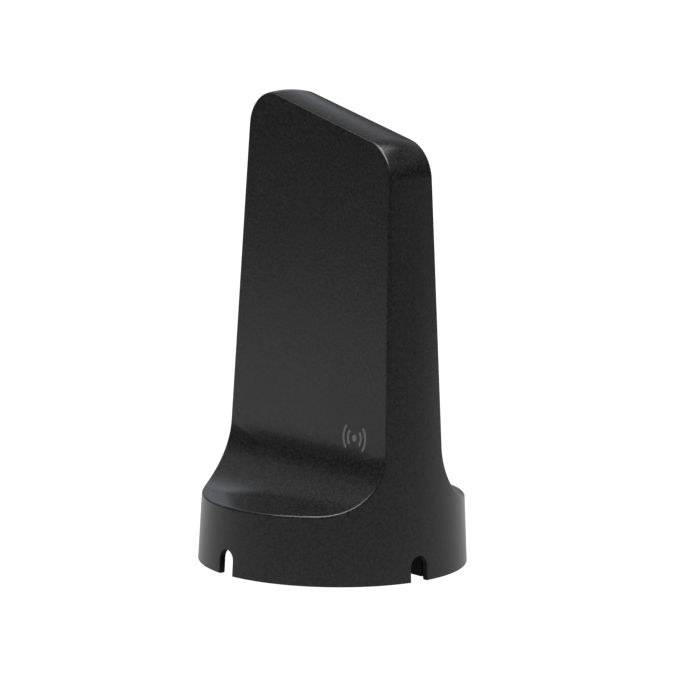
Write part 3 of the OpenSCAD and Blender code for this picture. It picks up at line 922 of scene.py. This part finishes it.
def make_jack():
    """The jack: 36 threads to the inch outside, a plain bore, its flange above the panel."""
    turn = np.linspace(0, 2 * math.pi, 72, endpoint=False)
    chamfer, run_in, lead_in, rows = 0.3, 0.12, 0.45, 84
    crest = 0.12                   # half of a crest's or a root's flat, in turns
    bevelled, full, bevel_h = 4.3, 9.0, 0.25
    rings = [ring_at(turn, JACK_BORE, JACK_TOP), ring_at(turn, JACK_BORE, JACK_TIP + chamfer),
             ring_at(turn, JACK_BORE + chamfer, JACK_TIP),
             ring_at(turn, JACK_THREAD_R - lead_in, JACK_TIP)]
    for k in range(rows + 1):
        z = JACK_TIP + run_in + (NUT_LOW - JACK_TIP - run_in) * k / rows
        phase = (z / JACK_PITCH - turn / (2 * math.pi)) % 1.0
        lead = min(1.0, (z - JACK_TIP) / lead_in)
        flank = np.clip((abs(2 * phase - 1) - crest) / (1 - 2 * crest), 0, 1)
        depth = JACK_THREAD_H * np.maximum(flank, 1 - lead)
        rings.append(ring_at(turn, JACK_THREAD_R - depth, z))
    rings += [ring_at(turn, JACK_NECK_R, NUT_LOW), ring_at(turn, JACK_NECK_R, FLANGE_LOW)]
    for z, cut in ((FLANGE_LOW, bevelled), (FLANGE_LOW + bevel_h, full),
                   (FLANGE_HIGH - bevel_h, full), (FLANGE_HIGH, bevelled)):
        rings.append(ring_at(turn, np.minimum(hexagon(turn), cut), z))
    rings += [ring_at(turn, JACK_BARREL_R, FLANGE_HIGH), ring_at(turn, JACK_BARREL_R, JACK_TOP),
              ring_at(turn, JACK_BORE, JACK_TOP)]
    return ring_piece("threaded_jack", rings)


def make_nut():
    """A thin hexagon nut with turned chamfers."""
    turn = np.linspace(0, 2 * math.pi, 96, endpoint=False)
    bore, chamfer, face_r = 3.02, 0.3, 3.85
    corner_r, slope = 3.95, 1.9    # the turned chamfer on the hexagon's corners
    rings = [ring_at(turn, bore, NUT_HIGH), ring_at(turn, bore, NUT_LOW + chamfer),
             ring_at(turn, bore + chamfer, NUT_LOW), ring_at(turn, face_r, NUT_LOW)]
    for z in np.linspace(NUT_LOW, NUT_HIGH, 12):
        cut = corner_r + slope * min(z - NUT_LOW, NUT_HIGH - z)
        rings.append(ring_at(turn, np.minimum(hexagon(turn), cut), z))
    rings += [ring_at(turn, face_r, NUT_HIGH), ring_at(turn, bore, NUT_HIGH)]
    return ring_piece("jack_hex_nut", rings)


def make_washer():
    """A lock washer with notched teeth round its outside."""
    bore, root, outer, notch = 3.22, 4.3, 5.4, 1.0
    turn = np.linspace(0, 2 * math.pi, TEETH * 12, endpoint=False)
    tooth = np.clip(1.6 * np.cos(TEETH * turn), -1, 1) * 0.5 + 0.5
    reach = outer - notch + notch * tooth
    rings = [ring_at(turn, radius, z) for radius, z in (
        (bore, WASHER_HIGH), (bore, WASHER_LOW), (root, WASHER_LOW), (reach, WASHER_LOW),
        (reach, WASHER_HIGH), (root, WASHER_HIGH), (bore, WASHER_HIGH))]
    return ring_piece("toothed_washer", rings)


def make_cover():
    """The moulded bottom cover with its edges broken."""
    bm = bmesh.new()
    bm.from_mesh(frame["nodes"]["bottom_cover"].data)
    bmesh.ops.remove_doubles(bm, verts=bm.verts, dist=1e-6)
    bmesh.ops.dissolve_limit(bm, angle_limit=math.radians(0.5), verts=bm.verts, edges=bm.edges)
    piece = add_object("base_cover", bm)
    bevel = piece.modifiers.new("broken_edges", "BEVEL")
    bevel.width = 0.25 * MM
    bevel.segments = 2
    bevel.limit_method = "ANGLE"
    bevel.angle_limit = math.radians(40)
    apply_modifiers(piece)
    return piece


shell = make_shell()
shell_paint = textured_plastic("shell_plastic_texture", SHELL_DARK, SHELL_LIGHT)
ride(shell, shell_paint, "shell_plastic", "housing")
for made in (make_bosses(), make_guides()):
    smooth_faces(made)
    ride(made, shell_paint, "shell_plastic")

cover = make_cover()
smooth_faces(cover)
ride(cover, textured_plastic("cover_plastic_texture", COVER_DARK, COVER_LIGHT, 0.38),
     "cover_plastic", "bottom_cover")

steel = plated("zinc_plate", (0.52, 0.53, 0.55), (0.66, 0.67, 0.69), 0.28)
gold = plated("gold_plate", (0.78, 0.58, 0.24), (0.88, 0.68, 0.33), 0.22)
for made, material, slot, node in (
        (make_feet(), rubber(), "foot_rubber", "rubber_feet"),
        (make_screws("plate_screws", "ballast_screws", BALLAST_PITCH, BALLAST_TURN), steel,
         "zinc_steel", "ballast_screws"),
        (make_screws("foot_screws", "cover_screws", FOOT_PITCH, FOOT_TURN), steel,
         "zinc_steel", "cover_screws"),
        (make_jack(), gold, "gold_plated_brass", "jack_body"),
        (make_nut(), gold, "gold_plated_brass", "jack_nut"),
        (make_washer(), steel, "zinc_steel", "jack_lock_washer")):
    smooth_faces(made)
    ride(made, material, slot, node)

node_paint = {
    "zinc_steel": steel,
    "gold_plated_brass": gold,
    "ballast_iron": turned_iron(),
    "board_laminate": laminate(),
    "copper_foil": plated("copper_foil_tarnished", (0.68, 0.36, 0.2), (0.82, 0.5, 0.3), 0.32),
    "bracket_plastic": plain_plastic("natural_nylon", (0.72, 0.69, 0.62), (0.8, 0.78, 0.71),
                                     0.42),
    "foam": foam(),
    "cable_jacket": plain_plastic("cable_jacket_brown", (0.26, 0.14, 0.07), (0.33, 0.18, 0.1),
                                  0.3),
    "solder": plated("solder_bright", (0.62, 0.63, 0.65), (0.78, 0.79, 0.8), 0.25),
    "ferrite": plain_plastic("ferrite_ground", (0.035, 0.036, 0.04), (0.06, 0.061, 0.066), 0.5,
                             2.5),
    "white_insulator": plain_plastic("white_fluoropolymer", (0.82, 0.82, 0.8),
                                     (0.88, 0.88, 0.86), 0.4),
    "print_ink": ink(),
}
replaced = {"housing", "bottom_cover", "rubber_feet", "ballast_screws", "cover_screws",
            "jack_body", "jack_nut", "jack_lock_washer"}
for row in frame["record"]["subparts"]:
    if row["node"] not in replaced:
        paint_piece(frame["nodes"][row["node"]], node_paint[row["material_slot"]])


# ---- stage and light ---------------------------------------------------------------

FLOOR_GLOW = (0.5, 0.74)      # in front of the object and behind it
FLOOR_R = 1.0
SURROUND_R = 5.5
PINHOLE_R = 0.0001            # the hole left in the middle of the white ground
N_FLOOR = 96                  # sides of a floor ring
WHITE = (1.0, 1.0, 1.0, 1.0)
LIGHT_DISTANCE = 1.0
LIGHT_AIM = Vector((0, 0, 0.08))
# the sky's brightness, from the horizon to the zenith
SKY_RING = ((0.0, 0.11), (0.06, 0.11), (0.2, 0.06), (0.37, 0.07), (0.64, 0.25), (0.8, 0.05))
REAR_TINT = (0.95, 0.98, 1.08)


def seen_only_by_camera(piece):
    """Keeps a surface from throwing light or shadow on the object."""
    piece.visible_diffuse = piece.visible_glossy = piece.visible_shadow = False
    piece.visible_transmission = piece.visible_volume_scatter = False


def flat_ring(name, inner, outer, height):
    """A flat ring round the axis, in metres."""
    bm = bmesh.new()
    loops = []
    for radius in (inner, outer):
        loops.append([bm.verts.new((radius * math.cos(a), radius * math.sin(a), height))
                      for a in np.linspace(0, 2 * math.pi, N_FLOOR, endpoint=False)])
    for i in range(N_FLOOR):
        k = (i + 1) % N_FLOOR
        bm.faces.new((loops[0][i], loops[1][i], loops[1][k], loops[0][k]))
    return add_object(name, bm)


def glowing(name):
    """A surface that only glows, and reflects nothing."""
    return Paint(name, Roughness=0.6, Specular_IOR_Level=0.0, Base_Color=(0.0, 0.0, 0.0, 1.0),
                 Emission_Color=WHITE)


def light_table(front, rear):
    """The floor's glow, stronger behind the object than in front of it."""
    paint = glowing("floor_pale")
    away = paint.node("ShaderNodeVectorMath", operation="DOT_PRODUCT")
    away.inputs[1].default_value = (-math.sin(VIEW_AZIMUTH), math.cos(VIEW_AZIMUTH), 0.0)
    paint.link(paint.where, away.inputs[0])
    paint.link(paint.spread(away.outputs["Value"], front, rear, -0.15, 0.15),
               paint.shader.inputs["Emission Strength"])
    return paint.material


def add_floor():
    """The pale table top lights the object; the white ground and surround are only seen."""
    floor = flat_ring("floor", (BASE_R + 1.0) * MM, FLOOR_R, 0.0)
    floor.data.materials.append(light_table(*FLOOR_GLOW))
    floor.visible_camera = False
    white = glowing("surround_white")
    white.shader.inputs["Emission Strength"].default_value = 1.1
    sweep = flat_ring("floor_white", PINHOLE_R, SURROUND_R, -0.2 * MM)
    sweep.data.materials.append(white.material)
    seen_only_by_camera(sweep)
    bm = bmesh.new()
    bmesh.ops.create_icosphere(bm, subdivisions=3, radius=SURROUND_R)
    surround = add_object("surround", bm)
    surround.data.materials.append(white.material)
    seen_only_by_camera(surround)


def add_world():
    """A dim studio, brighter in a ring high up."""
    world = bpy.data.worlds.new("studio")
    world.use_nodes = True
    nodes, links = world.node_tree.nodes, world.node_tree.links
    sky = nodes["Background"]
    where = nodes.new("ShaderNodeTexCoord")
    split = nodes.new("ShaderNodeSeparateXYZ")
    ramp = nodes.new("ShaderNodeValToRGB")
    links.new(where.outputs["Generated"], split.inputs["Vector"])
    links.new(split.outputs["Z"], ramp.inputs["Fac"])
    links.new(ramp.outputs["Color"], sky.inputs["Color"])
    stops = ramp.color_ramp.elements
    for _ in SKY_RING[2:]:
        stops.new(0.5)
    for stop, (height, level) in zip(stops, SKY_RING):
        stop.position = height
        stop.color = (level, level, level, 1.0)
    bpy.context.scene.world = world


def add_softbox(name, aside, elevation, width, height, power, tint=(1.0, 1.0, 1.0)):
    """A softbox aimed at the object; `aside` is counted from the camera's side, to the right."""
    a, e = VIEW_AZIMUTH + math.radians(aside), math.radians(elevation)
    away = Vector((math.sin(a) * math.cos(e), -math.cos(a) * math.cos(e), math.sin(e)))
    across = Vector((math.cos(a), math.sin(a), 0.0))
    data = bpy.data.lights.new(name, "AREA")
    data.shape = "RECTANGLE"
    data.size, data.size_y = width, height
    data.energy = power
    data.color = tint
    light = bpy.data.objects.new(name, data)
    turn = Matrix((across, away.cross(across), away)).transposed()
    place = LIGHT_AIM + away * LIGHT_DISTANCE
    light.matrix_world = Matrix.Translation(place) @ turn.to_4x4()
    bpy.context.collection.objects.link(light)


add_softbox("overhead", 0, 88, 0.5, 0.5, 7.0)
add_softbox("overhead_wide", 0, 88, 0.9, 0.9, 4.5)
add_softbox("front_high", -30, 58, 0.9, 0.3, 6.2)
add_softbox("front_right_high", 30, 58, 0.3, 0.3, 2.7)
add_softbox("left_high", -90, 58, 0.9, 0.3, 0.9)
add_softbox("left_rear", -150, 22, 1.2, 0.3, 0.6, REAR_TINT)
add_softbox("rear_right_high", 165, 30, 0.5, 0.25, 0.08, REAR_TINT)
add_softbox("rear_low", 178, 2, 1.2, 0.15, 0.3, REAR_TINT)
add_softbox("right_low", 80, 2, 1.0, 0.2, 0.1)
add_floor()
add_world()
bpy.context.scene.view_settings.view_transform = "Standard"
